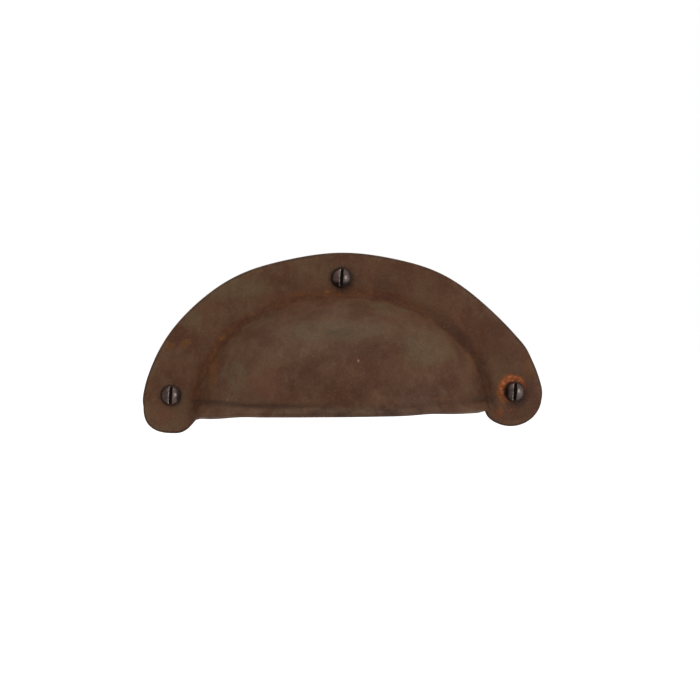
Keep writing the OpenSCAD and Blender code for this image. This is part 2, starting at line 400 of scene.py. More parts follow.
def make_mesh(name, points, faces, marks):
    """A mesh from points in millimetres and lists of face corners, with one number per point for
    each named mark; points that fall together are made one, and corners that repeat in a face are
    left out."""
    mesh = bpy.data.meshes.new(name)
    rounded = np.round(points, SAME_DIGITS) + 0.0
    _, first, same = np.unique(rounded, axis=0, return_index=True, return_inverse=True)
    corners = same.reshape(-1)[faces]
    kept = corners != np.roll(corners, -1, 1)
    four, three = kept.sum(1) == 4, kept.sum(1) == 3
    triangles = corners[three][kept[three]].reshape(-1, 3)
    mesh.from_pydata((points[first] * MM).tolist(), [], corners[four].tolist() + triangles.tolist())
    for mark, values in marks.items():
        layer = mesh.attributes.new(mark, "FLOAT", "POINT")
        layer.data.foreach_set("value", np.ascontiguousarray(values[first], dtype=np.float32))
    mesh.polygons.foreach_set("use_smooth", np.ones(len(mesh.polygons), dtype=bool))
    mesh.update()
    return mesh


def add_piece(name, data):
    """An object that holds a mesh, a lamp or a camera, placed at the origin."""
    piece = bpy.data.objects.new(name, data)
    bpy.context.scene.collection.objects.link(piece)
    return piece


def upper_part():
    """The sheet above the lip's crease, as one grid of points and one of normals: columns run round
    the arch, and rows run in over the flange, the crease and the hood."""
    turn = np.linspace(0, np.pi, ARCH_STEPS + 1)[:, None]
    flange = flange_part(turn, np.linspace(0, 1, FLANGE_STEPS + 1)[None])
    crease = crease_part(turn, np.arange(1, CREASE_STEPS + 1)[None] / CREASE_STEPS)
    dome = dome_part(turn, np.arange(1, DOME_STEPS + 1)[None] / DOME_STEPS)
    return [np.concatenate(parts, 1) for parts in zip(flange, crease, dome)]


def round_edge(at, normal):
    """Rounded edge along a closed line on the front: rows of points on a quarter turn out from the
    front, then on a quarter turn in to the back, square to the line."""
    away = unit(np.cross(np.roll(at, -1, 0) - np.roll(at, 1, 0), normal))
    bend = np.linspace(0, np.pi / 2, EDGE_STEPS + 1)[1:, None, None]
    out, deep = np.sin(bend) * away, (1 - np.cos(bend)) * normal
    over = at + EDGE_R * (out - deep)
    under = at - SHEET_T * normal + EDGE_R * (out + deep)
    return np.concatenate([over, under[::-1]])


def sheet_mesh():
    """The pressed sheet: the front surface, the same surface set back by the thickness along its
    normals, and a rounded edge carried along the closed line round arch, ears and lip."""
    upper, upper_n = upper_part()
    columns, rows = upper.shape[:2]
    upper_id = np.arange(columns * rows).reshape(columns, rows)

    # distance from the outline and from the crease along each column
    step = np.linalg.norm(np.diff(upper, axis=1), axis=-1)
    along = np.concatenate([np.zeros((columns, 1)), np.cumsum(step, 1)], 1)
    middle = FLANGE_STEPS + CREASE_STEPS // 2
    from_crease = (along - along[:, middle : middle + 1]).ravel()

    # the sheet below the lip's crease hangs from the grid's first column, last row and last column
    row = np.concatenate([np.arange(rows), np.full(columns - 2, rows - 1), np.arange(rows)[::-1]])
    top_id = np.concatenate([upper_id[0], upper_id[1:-1, -1], upper_id[-1, ::-1]])
    flat_p, flat_n = upper.reshape(-1, 3), upper_n.reshape(-1, 3)
    lower, lower_n = lip_part(flat_p[top_id], flat_n[top_id], row)
    lower_id = len(flat_p) + np.arange(lower.shape[0] * LIP_STEPS).reshape(-1, LIP_STEPS)
    lower_id = np.concatenate([top_id[:, None], lower_id], 1)
    lower_id[[0, -1]] = top_id[[0, -1], None]

    front = np.concatenate([flat_p, lower.reshape(-1, 3)])
    normal = np.concatenate([flat_n, lower_n.reshape(-1, 3)])
    count = len(front)

    # marks for the finish: nearness to the crease, to the lip crease and to the outer edge
    crease_d = np.concatenate([from_crease, np.repeat(from_crease[top_id], LIP_STEPS)])
    lip_d = np.abs(front[:, 2] - LIP_Z) + FAR_OFF * (front[:, 2] > LIP_Z + LIP_NEAR)
    edge_d = np.concatenate([along.ravel(), (lower[:, :, 2] - lower[:, -1:, 2]).ravel()])
    ring = np.concatenate([upper_id[:, 0], lower_id[-2:0:-1, -1]])
    on_ear = (front[:, 2] < LIP_Z) & (crease_d < 0)
    apart = front[on_ear][:, None, ::2] - front[ring][None, :, ::2]
    edge_d[on_ear] = np.linalg.norm(apart, axis=-1).min(1)

    # the lip is taller toward its ends
    side = np.abs(front[:, 0])
    ends = (TALLER_LEFT, TALLER_RIGHT)
    left, right = (height * soft_step(side, start, TALLER_FULL) for height, start in ends)
    taller = np.where(front[:, 0] < 0, left, right) * (1 - soft_step(side, *TALLER_LOST))
    front[:, 2] += taller * bump(front[:, 2], LIP_Z, TALLER_BAND)

    # slow dents of hand work, kept off the flange where the screws seat
    dents = sum(depth * soft_waves(front, *waves) for depth, *waves in DENTS)
    dents = dents * np.clip(crease_d / DENT_FROM_CREASE, 0, 1)
    dents = dents * np.clip((front[:, 2] - EDGE_Z) / DENT_FROM_EDGE, DENT_LEAST, 1)
    front = front + normal * dents[:, None]
    back = front - SHEET_T * normal

    edge = round_edge(front[ring], normal[ring])
    edge_rows = len(edge)
    edge = edge.reshape(-1, 3)
    edge_id = 2 * count + np.arange(len(edge)).reshape(edge_rows, -1)
    strip = np.concatenate([ring[None], edge_id, count + ring[None]])
    strip = np.concatenate([strip, strip[:, :1]], 1)

    skin = np.concatenate([quads(upper_id), quads(lower_id)])
    faces = np.concatenate([skin, skin[:, ::-1] + count, quads(strip)])
    points = np.concatenate([front, back, edge])
    on_front, on_edge = np.zeros(count), np.ones(len(edge))
    marks = {
        "crease": np.concatenate([crease_d, crease_d, np.tile(crease_d[ring], edge_rows)]),
        "lip": np.concatenate([lip_d, lip_d, np.tile(lip_d[ring], edge_rows)]),
        "edge": np.concatenate([edge_d, edge_d, 0 * on_edge]),
        "inner": np.concatenate([on_front, on_front + 1, EDGE_INSIDE * on_edge]),
    }
    return make_mesh("cup_sheet", points, faces, marks)


def rod_mesh(name, centres, r, length):
    """Plain rods along Y: two rings of points and two flat ends for each centre in X and Z."""
    angle = np.linspace(0, 2 * np.pi, ROD_SIDES, endpoint=False)
    ring = np.stack([r * np.cos(angle), 0 * angle, r * np.sin(angle)], -1)
    ends = np.stack([ring - [0, length / 2, 0], ring + [0, length / 2, 0]])
    rods = ends[None] + np.insert(centres, 1, 0.0, axis=1)[:, None, None]
    near, far = np.arange(rods.size // 3).reshape(rods.shape[:3]).swapaxes(0, 1)
    sides = np.stack([near, far, np.roll(far, -1, 1), np.roll(near, -1, 1)], -1)
    caps = [*near.tolist(), *far[:, ::-1].tolist()]
    mesh = bpy.data.meshes.new(name)
    mesh.from_pydata((rods.reshape(-1, 3) * MM).tolist(), [], sides.reshape(-1, 4).tolist() + caps)
    return mesh


def cut_away(piece, cutter):
    """The piece's mesh less the cutter's, with its marks kept and points that all but touch
    joined."""
    cut = piece.modifiers.new("cut", "BOOLEAN")
    cut.operation = "DIFFERENCE"
    cut.solver = "EXACT"
    cut.object = cutter
    graph = bpy.context.evaluated_depsgraph_get()
    result = bpy.data.meshes.new_from_object(piece.evaluated_get(graph), depsgraph=graph)
    piece.modifiers.clear()
    old = piece.data
    piece.data = result
    bpy.data.meshes.remove(old)
    spare = cutter.data
    bpy.data.objects.remove(cutter)
    bpy.data.meshes.remove(spare)
    cleaned = bmesh.new()
    cleaned.from_mesh(result)
    bmesh.ops.remove_doubles(cleaned, verts=cleaned.verts, dist=TOUCHING * MM)
    cleaned.to_mesh(result)
    cleaned.free()
    result.set_sharp_from_angle(angle=SHEET_SHARP)


def head_part():
    """Round head: chords of a circle across the slot and points along each chord, set to the
    height of a spherical cap; inside the slot the height falls to the slot's floor, steeply on the
    right and by a worn slope on the left."""
    spread = np.sin(np.linspace(0, np.pi / 2, HEAD_CHORDS))
    outside = SLOT_ENDS + (HEAD_R - SLOT_ENDS) * spread
    outside = np.stack([outside, 0 * outside], -1)
    right = np.concatenate([SHARP_SIDE, outside])
    left = np.concatenate([WORN_SIDE, outside])[::-1] * [-1, 1]
    x, drop = np.concatenate([left, right]).T[..., None]
    t = np.sin(np.linspace(-np.pi / 2, np.pi / 2, CHORD_POINTS))
    y = t * np.sqrt(np.clip(HEAD_R**2 - x**2, 0, None))
    cap_h = HEAD_H - RIM_H
    cap_r = (HEAD_R**2 + cap_h**2) / (2 * cap_h)
    dome = RIM_H + np.sqrt(np.clip(cap_r**2 - x**2 - y**2, 0, None)) - (cap_r - cap_h)
    floor = np.minimum(dome, HEAD_H - SLOT_DEPTH)
    z = dome + (floor - dome) * drop
    xs = np.broadcast_to(x, y.shape)
    top = np.stack([xs, y, z], -1)
    base = np.stack([xs, y, 0 * z], -1)
    slot = (drop > FLOOR_SHARE) & (z < dome - SLOT_LEAST)
    sloped = (drop < FLOOR_SHARE) & (drop > SLOPE_SHARE) & (x < 0)
    worn = sloped & (np.abs(y) < WORN_REACH * HEAD_R)
    return top, base, {"slot": slot, "worn": worn, "across": xs / HEAD_R}


def shaft_part():
    """Shank and thread: rings along the axis whose radius is the root plus a ridge that climbs one
    pitch for each turn; root and ridge shrink to the gimlet point."""
    s = np.linspace(-SHAFT_IN, SCREW_L, SHAFT_RINGS)[:, None]
    angle = np.linspace(0, 2 * np.pi, SHAFT_SIDES + 1)[None, :-1]
    into = soft_step(s, SHANK_L, SHANK_L + THREAD_RUN)
    to_tip = (SCREW_L - s) / POINT_L
    root = (SHANK_R + (ROOT_R - SHANK_R) * into) * np.clip(to_tip, TIP_SHARE, 1) ** TIP_POWER
    phase = (s / PITCH - angle / (2 * np.pi)) % 1.0
    ridge = np.clip(1 - np.abs(phase - 0.5) / RIDGE_HALF, 0, 1) ** RIDGE_POWER
    r = root + ridge * (SHANK_R - ROOT_R) * into * np.clip(to_tip, 0, 1) ** RIDGE_FADE
    return np.stack([r * np.cos(angle), r * np.sin(angle), -s + 0 * angle], -1)


def screws_mesh():
    """Three screws, each a head and a shaft turned so that the head faces front."""
    top, base, head_marks = head_part()
    shaft = shaft_part()
    top_id = np.arange(top.shape[0] * top.shape[1]).reshape(top.shape[:2])
    base_id = top_id + top_id.size
    head_size = 2 * top_id.size
    shaft_id = head_size + np.arange(SHAFT_RINGS * SHAFT_SIDES).reshape(SHAFT_RINGS, SHAFT_SIDES)
    wrap = np.concatenate([shaft_id, shaft_id[:, :1]], 1)
    start = np.full(SHAFT_SIDES + 1, shaft_id.max() + 1)
    faces = np.concatenate(
        [
            quads(top_id),
            quads(base_id)[:, ::-1],
            quads(np.stack([top_id[:, 0], base_id[:, 0]])),
            quads(np.stack([base_id[:, -1], top_id[:, -1]])),
            quads(wrap),
            quads(np.stack([start, wrap[0]])),
            quads(np.stack([wrap[-1], start + 1])),
        ]
    )
    ends = [(0.0, 0.0, SHAFT_IN), (0.0, 0.0, -SCREW_L)]
    points = np.concatenate([p.reshape(-1, 3) for p in (top, base, shaft, np.array(ends))])
    c, s = math.cos(-SLOT_LEAN), math.sin(-SLOT_LEAN)
    turned = points @ np.array([(c, s, 0.0), (-s, c, 0.0), (0.0, 0.0, 1.0)])
    placed = np.stack([turned[:, 0], -turned[:, 2] - SHEET_T, turned[:, 1]], -1)
    offset = np.insert(SCREWS_AT, 1, 0.0, axis=1)
    screw_count = len(SCREWS_AT)
    every = (placed[None] + offset[:, None]).reshape(-1, 3)
    numbers = np.concatenate([faces + k * len(points) for k in range(screw_count)])
    rest = np.zeros(len(points) - top_id.size)
    marks = {name: np.append(values, rest) for name, values in head_marks.items()}
    marks["shaft"] = np.arange(len(points)) >= head_size
    marks = {name: np.tile(values, screw_count) for name, values in marks.items()}
    mesh = make_mesh("screw_set", every, numbers, marks)
    mesh.set_sharp_from_angle(angle=SCREW_SHARP)
    return mesh


# pieces
pull = add_piece("cup_shell_dressed", sheet_mesh())
cut_away(pull, add_piece("hole_cutter", rod_mesh("hole_cutter", SCREWS_AT, HOLE_R, ROD_L)))
screws = add_piece("screws_dressed", screws_mesh())


def srgb(r, g, b):
    """A colour read as 0 to 255 values, as the linear values that shaders take."""
    c = np.array([r, g, b]) / 255
    lin = np.where(c <= 0.04045, c / 12.92, ((c + 0.055) / 1.055) ** 2.4)
    return (*lin.tolist(), 1.0)


# values that the finishes share
MIDDLE = (0.5, 0.5, 0.5)
IN_PLANE = (1.0, 0.0, 1.0)
ANY_DEPTH = 1000.0
WHITE = (1.0, 1.0, 1.0, 1.0)
NOISE_ROUGHNESS = 0.58


class Finish:
    """The nodes of one material or node group, with a short call for each step of a finish."""

    def __init__(self, tree):
        self.tree = tree

    def add(self, kind, **settings):
        """A new node with the given settings."""
        node = self.tree.nodes.new(kind)
        for name, value in settings.items():
            setattr(node, name, value)
        return node

    def feed(self, socket, value):
        """Links an output to a socket, or sets the socket to a constant."""
        if isinstance(value, bpy.types.NodeSocket):
            self.tree.links.new(value, socket)
        else:
            socket.default_value = value

    def math(self, operation, a, b):
        """One sum on two numbers."""
        node = self.add("ShaderNodeMath", operation=operation)
        self.feed(node.inputs[0], a)
        self.feed(node.inputs[1], b)
        return node.outputs[0]

    def vector(self, operation, a, b):
        """One sum on two vectors."""
        node = self.add("ShaderNodeVectorMath", operation=operation)
        self.feed(node.inputs[0], a)
        self.feed(node.inputs[1], b)
        return node.outputs["Value" if operation == "LENGTH" else "Vector"]

    def length(self, vector):
        """The length of a vector."""
        return self.vector("LENGTH", vector, (0.0, 0.0, 0.0))

    def apart(self, vector):
        """The X, Y and Z of a vector."""
        node = self.add("ShaderNodeSeparateXYZ")
        self.feed(node.inputs[0], vector)
        return node.outputs

    def times(self, product, *factors):
        """The product of two or more numbers."""
        for factor in factors:
            product = self.math("MULTIPLY", product, factor)
        return product

    def ramp(self, value, low, high, start=0.0, end=1.0):
        """A smooth step from the start value at low to the end value at high."""
        node = self.add("ShaderNodeMapRange", interpolation_type="SMOOTHSTEP")
        sockets = ("Value", "From Min", "From Max", "To Min", "To Max")
        for name, number in zip(sockets, (value, low, high, start, end)):
            self.feed(node.inputs[name], number)
        return node.outputs["Result"]

    def between(self, value, rise, fall):
        """A band of ones that starts over the first range and ends over the second."""
        return self.times(self.ramp(value, *rise), self.ramp(value, *fall, 1.0, 0.0))

    def centred(self, noise, size):
        """A noise moved to lie about zero, times a size."""
        return self.times(self.math("SUBTRACT", noise, 0.5), size)

    def noise(self, place, size, seed, detail=3.0, output="Fac"):
        """Cloudy noise with features of the given size in millimetres."""
        node = self.add("ShaderNodeTexNoise", noise_dimensions="4D")
        self.feed(node.inputs["Vector"], place)
        self.feed(node.inputs["W"], seed)
        self.feed(node.inputs["Scale"], 1 / size)
        self.feed(node.inputs["Detail"], detail)
        self.feed(node.inputs["Roughness"], NOISE_ROUGHNESS)
        return node.outputs[output]

    def mix(self, share, under, over):
        """The second colour laid over the first by a share."""
        node = self.add("ShaderNodeMix", data_type="RGBA")
        self.feed(node.inputs[0], share)
        self.feed(node.inputs[6], under)
        self.feed(node.inputs[7], over)
        return node.outputs[2]

    def layers(self, colour, rows):
        """Tints laid over a colour one after another, each by its own share."""
        for share, tint in rows:
            colour = self.mix(share, colour, srgb(*tint))
        return colour

    def relief(self, height, distance, strength):
        """The normal of a surface with a fine relief, whose depth is given in metres."""
        node = self.add("ShaderNodeBump")
        self.feed(node.inputs["Height"], height)
        self.feed(node.inputs["Distance"], distance)
        self.feed(node.inputs["Strength"], strength)
        return node.outputs["Normal"]

    def mark(self, name):
        """A number that the mesh carries at each point."""
        return self.add("ShaderNodeAttribute", attribute_name=name).outputs["Fac"]

    def group(self, tree, **values):
        """A node group placed with its own values."""
        node = self.add("ShaderNodeGroup", node_tree=tree)
        for name, value in values.items():
            self.feed(node.inputs[name], value)
        return node.outputs

    def shown(self):
        """One for what the camera sees, straight on, in a reflection or through glass, and else
        zero."""
        rays = self.add("ShaderNodeLightPath").outputs
        seen = self.math("MAXIMUM", rays["Is Camera Ray"], rays["Is Glossy Ray"])
        return self.math("MAXIMUM", seen, rays["Is Transmission Ray"])

    def place(self):
        """Place on the object in millimetres."""
        where = self.add("ShaderNodeTexCoord")
        return self.vector("MULTIPLY", where.outputs["Object"], (1 / MM,) * 3)


def new_group(name, inputs, outputs):
    """An empty node group with named sockets: its finish, its input node and its output node."""
    tree = bpy.data.node_groups.new(name, "ShaderNodeTree")
    for socket, kind in inputs.items():
        tree.interface.new_socket(socket, in_out="INPUT", socket_type=kind)
    for socket in outputs:
        tree.interface.new_socket(socket, in_out="OUTPUT", socket_type="NodeSocketFloat")
    g = Finish(tree)
    return g, g.add("NodeGroupInput").outputs, g.add("NodeGroupOutput").inputs


def weathering_group():
    """Signs of age at four scales: wide blotches, mottling, fine grain and small sharp pits."""
    g, given, out = new_group(
        "weathering",
        {"Place": "NodeSocketVector", "Seed": "NodeSocketFloat"},
        ("Blotch", "Mottle", "Grain", "Pits"),
    )
    for name, size, detail in (("Blotch", 10.0, 3.0), ("Mottle", 3.2, 5.0), ("Grain", 0.55, 3.0)):
        g.feed(out[name], g.noise(given["Place"], size, given["Seed"], detail))
    pits = g.noise(given["Place"], 0.75, g.math("ADD", given["Seed"], 7.3), 2.0)
    g.feed(out["Pits"], g.ramp(pits, 0.65, 0.75))
    return g.tree


def patch_group():
    """A soft oval spot: full inside, and none past its reach in X and Z."""
    g, given, out = new_group(
        "patch",
        {"Place": "NodeSocketVector", "Centre": "NodeSocketVector", "Reach": "NodeSocketVector"},
        ("Mask",),
    )
    away = g.vector("DIVIDE", g.vector("SUBTRACT", given["Place"], given["Centre"]), given["Reach"])
    g.feed(out["Mask"], g.ramp(g.length(away), 0.45, 1.2, 1.0, 0.0))
    return g.tree


def new_material(name):
    """A node material: its finish and its shader."""
    material = bpy.data.materials.new(name)
    material.use_nodes = True
    return material, Finish(material.node_tree), material.node_tree.nodes["Principled BSDF"].inputs


# tints of the stains, and of the painted shade and sheen among them
OLIVE = (87, 73, 53)
DARK_OLIVE = (52, 47, 34)
RED_BROWN = (95, 58, 42)
DARK_BROWN = (62, 34, 24)
EAR_BROWN = (70, 45, 33)
HOOD_SHADE = (64, 39, 27)
LIP_SHADE = (50, 35, 26)
OCHRE = (100, 62, 28)
BRIGHT_OCHRE = (132, 78, 30)
YELLOW = (160, 104, 40)
ORANGE = (120, 62, 28)
PALE = (140, 118, 102)

# stains and painted shade on the front of the sheet: tint, strength and ovals as X, Z, half width,
# half height
STAINS_AND_SHADES = (
    # the wide olive band across the upper hood is part olive patina and part painted sheen, where
    # the hood tilts upward
    (OLIVE, 0.6, ((-1.8, 16, 17, 3.4), (21.2, 12, 7, 6), (-26.5, 27.3, 10, 3.0), (12, 22, 6, 2.5))),
    (OLIVE, 0.5, ((-22, 20, 6, 4), (-38, 19, 3, 3), (-27, 5, 3, 4))),
    (RED_BROWN, 0.45, ((-18.6, 3.1, 6, 5), (2, 6, 7, 4), (-46, -5, 3, 3), (30, 19, 2, 4))),
    (
        DARK_BROWN,
        0.5,
        (
            (1.9, 0.9, 6, 4),
            (35.9, 21.3, 1.1, 1.1),
            (-8, 8, 5, 2),
            (27, 3, 4, 3),
            (35.5, 7, 1.9, 8),
            (-39.2, -4, 0.8, 2.2),
        ),
    ),
    (
        OCHRE,
        0.55,
        (
            (-33.2, 7.0, 1.5, 7),
            (-7.6, 25.3, 6, 1.2),
            (-44.4, 12.7, 1.5, 1.3),
            (-40, 13.2, 1.6, 1.2),
        ),
    ),
    (
        OCHRE,
        0.5,
        (
            (47.8, 8.4, 1.2, 5),
            (25.4, -1.5, 3.5, 0.5),
            (33.5, 9, 1.2, 4),
            (-30.6, 14.5, 1.4, 1.4),
        ),
    ),
    (ORANGE, 0.7, ((39.6, -5.2, 2.0, 1.9), (43.2, -4.6, 0.9, 0.6))),
    (BRIGHT_OCHRE, 0.8, ((41.4, -2.1, 1.2, 1.0), (40.6, -0.6, 0.8, 1.4))),
    (EAR_BROWN, 0.7, ((46, -2, 6, 9), (42, 13, 6, 10))),
    # painted shade: the hood made darker low in the middle and toward the right
    (HOOD_SHADE, 0.75, ((0, 4, 17, 7), (4, 10, 13, 4), (20, -0.5, 6.5, 4.5), (35, 2, 2.4, 5.5))),
    # painted shade across the middle of the lip, which tilts up toward the top lamp
    (LIP_SHADE, 0.8, ((4, -4.7, 24, 1.7),)),
    (YELLOW, 0.75, ((-30.6, 14.5, 0.7, 0.8), (-7.8, 25.2, 0.6, 0.45), (-3.5, 25.6, 0.7, 0.4))),
    (DARK_OLIVE, 0.55, ((-0.5, 15.4, 4.5, 1.5), (17, -1.8, 2.4, 0.5), (35.5, -1.6, 2.6, 0.8))),
    (PALE, 0.6, ((3.7, 8.5, 0.3, 0.4), (-29.4, -1.8, 0.35, 0.35))),
)

# orange rust round the right screw as X, Z and reach, and the dark rings of painted shadow with
# some grime
# round the heads: their reach, screw by screw, and how far they lie off the screws, down and to the
# right
RUST_RING = (43.4, 0.85, 3.9)
SHADOW_AND_GRIME_RINGS = (2.8, 3.6, 3.5)
SHADOW_RING_OFF = (0.3, -0.4)


def oval(f, patch, place, x, z, half_w, half_h):
    """The cover of a soft oval on the sheet, at any depth."""
    reach = (half_w, ANY_DEPTH, half_h)
    return f.group(patch, Place=place, Centre=(x, 0.0, z), Reach=reach)["Mask"]


def browns(f, place, broad, close):
    """The rust itself: browns in blotches and mottling, with faint streaks drawn out up and
    down."""
    colour = f.mix(f.ramp(broad["Blotch"], 0.36, 0.6), srgb(72, 45, 30), srgb(83, 56, 39))
    streak = f.noise(f.vector("MULTIPLY", place, (1.0, 1.0, 0.22)), 2.2, 6.0, 3.0)
    rows = (
        (f.ramp(broad["Mottle"], 0.46, 0.7, 0.0, 0.55), (91, 69, 51)),
        (f.ramp(close["Blotch"], 0.5, 0.68, 0.0, 0.4), (85, 67, 46)),
        (f.ramp(close["Mottle"], 0.52, 0.7, 0.0, 0.45), (69, 42, 29)),
        (f.ramp(streak, 0.44, 0.66, 0.0, 0.4), (68, 46, 34)),
    )
    return f.layers(colour, rows)


def stains_and_shades(f, patch, colour, place, fine, close):
    """Stains, painted shade and painted sheen, with ragged rims and a broken cover."""
    wide = f.vector("SUBTRACT", f.noise(place, 3.0, 2.0, 2.0, "Color"), MIDDLE)
    ragged = f.vector("ADD", place, f.vector("MULTIPLY", wide, (4.0, 0.0, 4.0)))
    ragged = f.vector("ADD", ragged, f.vector("MULTIPLY", fine, (1.6, 0.0, 1.6)))
    broken = f.ramp(close["Mottle"], 0.36, 0.6, 0.35, 1.0)
    for tint, strength, ovals in STAINS_AND_SHADES:
        cover = 0.0
        for x, z, half_w, half_h in ovals:
            cover = f.math("MAXIMUM", oval(f, patch, ragged, x, z, half_w, half_h), cover)
        colour = f.mix(f.times(cover, broken, strength), colour, srgb(*tint))
    return colour


def crease_grime_and_shade(f, colour, at, broad, close, crease, band):
    """Grime and painted shade along the crease of the hood, wider on the flange and darker toward
    the right, with a dark line of painted shade in the crease and with ochre in places above the
    lip."""
    x, z = at["X"], at["Z"]
    # grime with painted shade in the crease, darker toward the right
    grime_and_shade = f.mix(f.ramp(close["Mottle"], 0.4, 0.6), srgb(66, 35, 19), srgb(86, 49, 26))
    grime_and_shade = f.mix(f.ramp(x, 8.0, 32.0), grime_and_shade, srgb(50, 27, 15))
    worn_off = f.ramp(broad["Blotch"], 0.36, 0.6, 0.95, 0.65)
    colour = f.mix(f.times(band, worn_off), colour, grime_and_shade)
    # painted shade: a dark line in the crease, fainter toward the right
    crease_shade = f.between(crease, (-1.3, -0.2), (0.2, 1.2))
    fading = f.ramp(x, 8.0, 32.0, 0.6, 0.2)
    right_of, left_of = f.ramp(x, -16.0, -12.0, 0.4, 1.0), f.ramp(x, -29.0, -24.0, 1.0, 0.4)
    ochre = f.times(
        f.ramp(close["Blotch"], 0.46, 0.6, 0.0, 0.45),
        f.ramp(z, -3.0, 1.0),
        f.ramp(x, -2.0, 10.0, 1.0, 0.3),
        f.math("MAXIMUM", right_of, left_of),
    )
    thin = f.between(crease, (-0.9, -0.2), (0.2, 0.9))
    rows = ((f.times(crease_shade, fading), (52, 29, 18)), (f.times(thin, ochre), (112, 68, 30)))
    return f.layers(colour, rows)


def lip_shade_and_rubbed_edges(f, colour, x, broad, close):
    """A dark line of painted shade in the crease of the lip, faint in the middle, and edges that
    are rubbed, with a dark rim round the flange."""
    lip = f.math("ADD", f.mark("lip"), f.centred(close["Grain"], 0.8))
    ends = f.math("MAXIMUM", f.ramp(x, -14.0, 0.0, 0.5, 0.08), f.ramp(x, 30.5, 35.0, 0.08, 0.5))
    on_hood = f.ramp(f.mark("crease"), -2.0, -0.8)
    on_flange = f.ramp(f.mark("crease"), -1.5, 0.0, 1.0, 0.0)
    patchy = f.ramp(broad["Blotch"], 0.38, 0.58, 0.3, 1.0)
    worn = f.ramp(broad["Mottle"], 0.38, 0.6)
    edge = f.mark("edge")
    rows = (
        # painted shade: the dark line in the lip's crease
        (f.times(f.ramp(lip, 0.1, 1.1, 1.0, 0.0), ends, on_hood), (38, 22, 16)),
        (f.times(f.ramp(edge, 0.2, 1.5, 0.3, 0.0), worn), (100, 77, 60)),
        (f.times(f.ramp(edge, 0.02, 0.3, 0.5, 0.0), on_flange, patchy), (44, 30, 24)),
    )
    return f.layers(colour, rows)


def rust_and_shadow_at_screws(f, patch, colour, place, fine, stray):
    """Orange rust round the right screw, and dark rings of painted shadow with some grime round all
    the heads.
    """
    ragged = f.vector("ADD", place, f.vector("MULTIPLY", fine, IN_PLANE))
    x, z, reach = RUST_RING
    flat = f.vector("MULTIPLY", ragged, IN_PLANE)
    away = f.length(f.vector("SUBTRACT", flat, (x, 0.0, z)))
    on_front = f.ramp(f.mark("inner"), 0.0, 0.2, 1.0, 0.0)
    ring = f.times(f.ramp(away, reach - 0.6, reach, 1.0, 0.0), on_front)
    fleck = f.ramp(f.noise(place, 0.9, 8.0, 2.0), 0.44, 0.6)
    orange = f.mix(fleck, srgb(131, 67, 31), srgb(168, 102, 68))
    rim = f.ramp(f.math("ADD", away, f.times(stray, 0.3)), reach - 1.2, reach - 0.3)
    orange = f.mix(rim, orange, srgb(118, 58, 24))
    colour = f.mix(f.times(ring, 0.85), colour, orange)
    # painted shadow with some grime under each head, set off toward the lower right
    for place_at, wide in zip(SCREWS_AT + SHADOW_RING_OFF, SHADOW_AND_GRIME_RINGS):
        shadow_and_grime = oval(f, patch, ragged, *place_at.tolist(), wide, wide)
        colour = f.mix(f.times(shadow_and_grime, 0.85), colour, srgb(34, 23, 19))
    return colour


def sheet_finish(weathering, patch):
    """Old iron with thin brown rust: mottled browns, stains with painted shade and sheen among
    them, grime and painted shade in the creases, rubbed edges, fine specks and pits, and a rustier
    inside."""
    material, f, shader = new_material("rusted_iron")
    place = f.place()
    at = f.apart(place)
    broad = f.group(weathering, Place=place, Seed=1.0)
    close = f.group(weathering, Place=place, Seed=5.0)
    fine = f.vector("SUBTRACT", f.noise(place, 0.8, 3.0, 2.0, "Color"), MIDDLE)
    stray = f.math("ADD", f.centred(broad["Mottle"], 3.0), f.centred(close["Grain"], 0.6))
    crease = f.math("ADD", f.mark("crease"), stray)
    band = f.between(crease, (-3.4, -0.4), (0.5, 2.2))

    colour = browns(f, place, broad, close)
    colour = stains_and_shades(f, patch, colour, place, fine, close)
    colour = crease_grime_and_shade(f, colour, at, broad, close, crease, band)
    colour = lip_shade_and_rubbed_edges(f, colour, at["X"], broad, close)
    colour = rust_and_shadow_at_screws(f, patch, colour, place, fine, stray)
    pits_and_specks = (
        (f.times(close["Pits"], 0.55), (46, 30, 24)),
        (f.times(broad["Pits"], 0.2), (128, 106, 88)),
        (f.ramp(close["Grain"], 0.44, 0.62, 0.0, 0.1), (50, 33, 25)),
        (f.ramp(broad["Grain"], 0.5, 0.66, 0.0, 0.12), (118, 92, 74)),
    )
    colour = f.layers(colour, pits_and_specks)
    cloudy = f.math("ADD", close["Blotch"], close["Mottle"])
    inside = f.mix(f.ramp(cloudy, 0.75, 1.25), srgb(62, 40, 30), srgb(96, 56, 32))
    colour = f.mix(f.ramp(f.mark("inner"), 0.35, 0.9, 0.0, 0.7), colour, inside)
    f.feed(shader["Base Color"], colour)
    shader["Specular IOR Level"].default_value = 0.09

    rough = f.ramp(close["Mottle"], 0.35, 0.68, 0.44, 0.62)
    f.feed(shader["Roughness"], f.math("ADD", rough, f.times(band, 0.12)))
    height = f.math("ADD", broad["Mottle"], f.times(close["Grain"], 0.35))
    height = f.math("SUBTRACT", height, f.times(close["Pits"], 0.4))
    f.feed(shader["Normal"], f.relief(height, 0.00012, 0.7))
    return material


